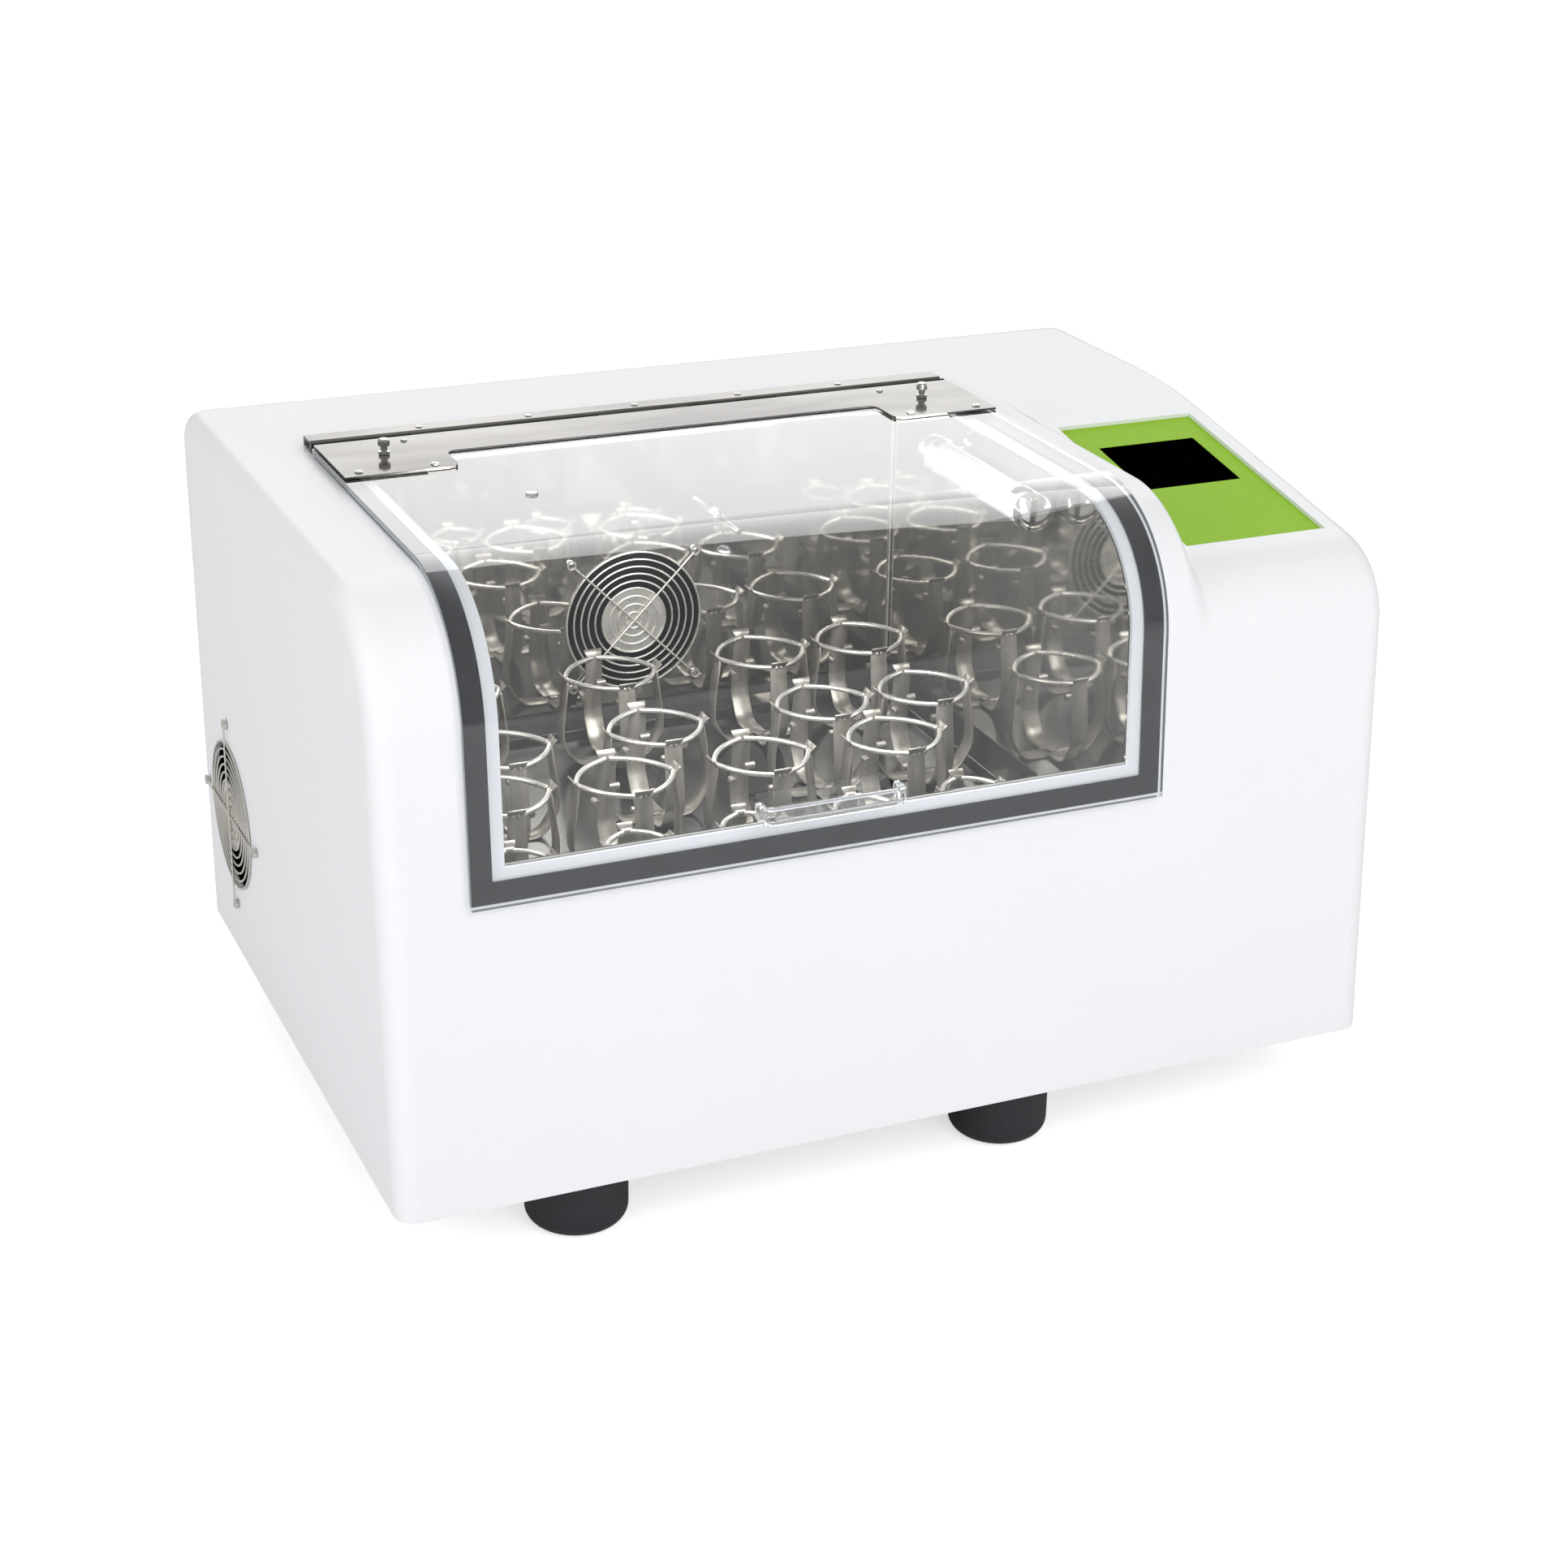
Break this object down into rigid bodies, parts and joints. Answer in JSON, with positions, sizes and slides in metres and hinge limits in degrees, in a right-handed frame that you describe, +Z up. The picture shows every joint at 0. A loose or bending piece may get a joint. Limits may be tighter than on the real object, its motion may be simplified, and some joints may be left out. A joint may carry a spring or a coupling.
{
  "type": "shaking incubator",
  "caption": "Bench-top orbital shaking incubator: white cabinet, clear hinged lid over a steel chamber, flask clamps on an orbiting tray, control panel on a sloped wing.",
  "frame": {"origin": "bottom centre of the whole object's box, on the bench", "axes": "+X to the right along the long side, +Y to the rear, +Z up; the lid and panel face -Y"},
  "size_m": [0.7442, 0.5371, 0.4877],
  "materials": {
    "black_plastic": "matt black plastic",
    "cast_metal": "as cast",
    "clear_acrylic": "clear acrylic",
    "dark_rubber": "matt dark rubber",
    "green_overlay": "satin printed overlay",
    "lamp_glass": "white lamp glass",
    "plated_steel": "zinc plated",
    "polished_steel": "polished stainless",
    "screen_glass": "black screen",
    "stainless_steel": "satin sheet",
    "white_shell": "glossy white moulded shell"
  },
  "bodies": {
    "cabinet": {"air_fan_frame": "black_plastic", "air_fan_guard": "polished_steel", "base_pan": "plated_steel", "case_shell": "white_shell", "chamber_liner": "stainless_steel", "control_panel": "green_overlay", "drive_bearing_housing": "cast_metal", "drive_belt": "dark_rubber", "drive_motor": "black_plastic", "foot_front_left": "dark_rubber", "foot_front_right": "dark_rubber", "foot_rear_left": "dark_rubber", "foot_rear_right": "dark_rubber", "heater_element": "plated_steel", "hinge_fixed_leaf": "polished_steel", "hinge_pin": "polished_steel", "idler_housing_left": "cast_metal", "idler_housing_right": "cast_metal", "lamp_clip_front": "polished_steel", "lamp_clip_rear": "polished_steel", "lamp_tube": "lamp_glass", "lid_gasket": "dark_rubber", "power_inlet": "black_plastic", "power_supply": "cast_metal", "temperature_probe": "polished_steel", "touch_screen": "screen_glass", "vent_fan_frame": "black_plastic", "vent_fan_guard": "polished_steel"},
    "lid": {"lid_window": "clear_acrylic", "lid_handle": "clear_acrylic", "hinge_lid_leaf": "polished_steel", "thumb_nut_left": "polished_steel", "thumb_nut_right": "polished_steel"},
    "drive_crank": {"drive_shaft": "plated_steel", "drive_pulley": "cast_metal"},
    "tray": {"large_clamp_01": "polished_steel", "large_clamp_02": "polished_steel", "large_clamp_03": "polished_steel", "large_clamp_04": "polished_steel", "large_clamp_05": "polished_steel", "large_clamp_06": "polished_steel", "large_clamp_07": "polished_steel", "large_clamp_08": "polished_steel", "large_clamp_09": "polished_steel", "large_clamp_10": "polished_steel", "large_clamp_11": "polished_steel", "large_clamp_12": "polished_steel", "small_clamp_01": "polished_steel", "small_clamp_02": "polished_steel", "small_clamp_03": "polished_steel", "small_clamp_04": "polished_steel", "small_clamp_05": "polished_steel", "flask_tray": "stainless_steel", "tray_carriage": "cast_metal"},
    "idler_left": {"idler_crank_left": "plated_steel"},
    "idler_right": {"idler_crank_right": "plated_steel"},
    "motor_rotor": {"motor_pulley": "cast_metal"},
    "air_fan": {"air_fan_rotor": "black_plastic"},
    "vent_fan": {"vent_fan_rotor": "black_plastic"},
    "rocker": {"power_switch": "black_plastic"}
  },
  "joints": [
    {"name": "lid_hinge", "type": "hinge", "parent": "cabinet", "child": "lid", "pos_m": [0.00213, 0.10114, 0.4723], "axis": [-1, 0, 0], "range_deg": [0, 95]},
    {"name": "drive_spin", "type": "hinge", "parent": "cabinet", "child": "drive_crank", "pos_m": [-0.04787, 0.07014, 0.1613], "axis": [0, 0, 1], "continuous": true},
    {"name": "tray_orbit", "type": "hinge", "parent": "drive_crank", "child": "tray", "pos_m": [-0.03787, 0.07014, 0.1778], "axis": [0, 0, 1], "continuous": true},
    {"name": "idler_left_spin", "type": "hinge", "parent": "cabinet", "child": "idler_left", "pos_m": [-0.19787, -0.08586, 0.1613], "axis": [0, 0, 1], "continuous": true},
    {"name": "idler_right_spin", "type": "hinge", "parent": "cabinet", "child": "idler_right", "pos_m": [0.10213, -0.08586, 0.1613], "axis": [0, 0, 1], "continuous": true},
    {"name": "motor_spin", "type": "hinge", "parent": "cabinet", "child": "motor_rotor", "pos_m": [0.13013, 0.07014, 0.088], "axis": [0, 0, 1], "continuous": true},
    {"name": "air_fan_spin", "type": "hinge", "parent": "cabinet", "child": "air_fan", "pos_m": [-0.02487, 0.21914, 0.268], "axis": [0, -1, 0], "continuous": true},
    {"name": "vent_fan_spin", "type": "hinge", "parent": "cabinet", "child": "vent_fan", "pos_m": [-0.36787, 0.17014, 0.172], "axis": [-1, 0, 0], "continuous": true},
    {"name": "switch_rock", "type": "hinge", "parent": "cabinet", "child": "rocker", "pos_m": [0.30213, 0.26514, 0.149], "axis": [0, 0, 1], "range_deg": [0, 12]}
  ],
  "couplings": [
    {"joint": "tray_orbit", "follows": "drive_spin", "ratio": -1},
    {"joint": "idler_left_spin", "follows": "drive_spin", "ratio": 1},
    {"joint": "idler_right_spin", "follows": "drive_spin", "ratio": 1},
    {"joint": "motor_spin", "follows": "drive_spin", "ratio": 3.2936}
  ]
}
